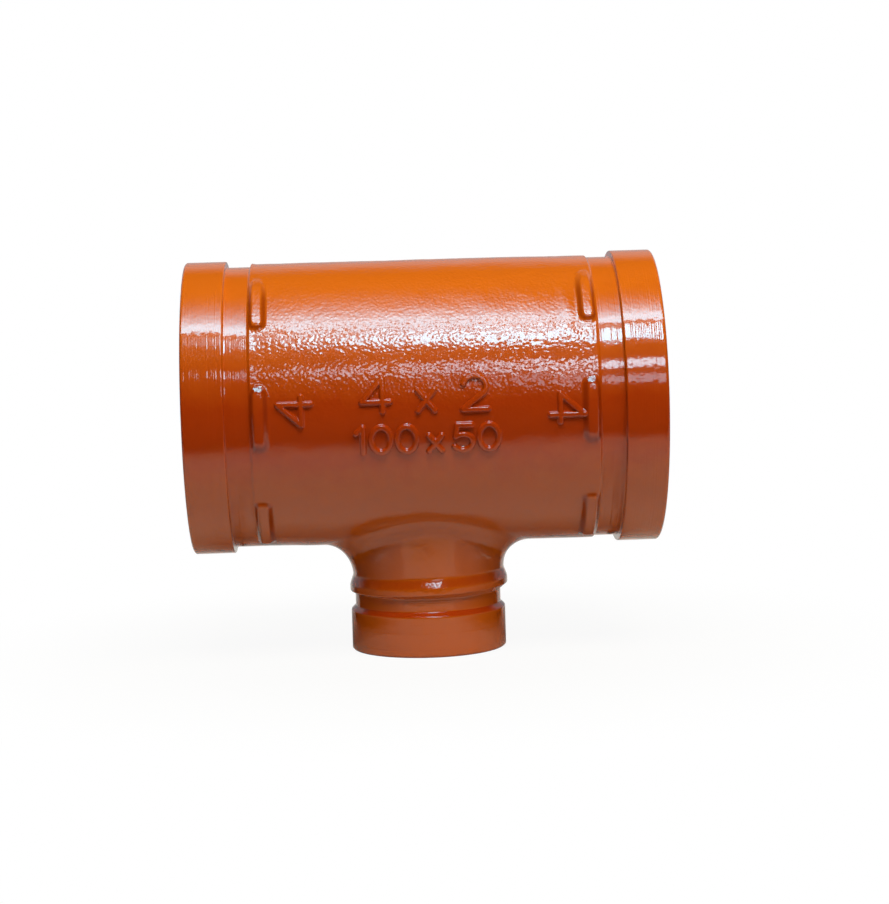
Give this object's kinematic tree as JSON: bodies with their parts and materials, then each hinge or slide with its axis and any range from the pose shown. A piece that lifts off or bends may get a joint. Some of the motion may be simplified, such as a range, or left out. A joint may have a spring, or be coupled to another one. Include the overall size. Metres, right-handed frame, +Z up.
{
  "type": "grooved reducing tee",
  "caption": "Cast pipe tee with a straight run and a smaller branch at a right angle, each end machined with a seat and a groove for a clamped coupling.",
  "frame": {"origin": "the crossing of the run's axis and the branch's axis, at the middle of the run", "axes": "+X along the run, +Z up, with the branch pointing along -Z and the part standing on the branch's end face"},
  "size_m": [0.1816, 0.1142, 0.1542],
  "materials": {
    "orange_enamel": "gloss dipped enamel over a sand casting, smooth on the machined seats and grooves"
  },
  "bodies": {
    "root": {"tee_body": "orange_enamel"}
  },
  "joints": []
}
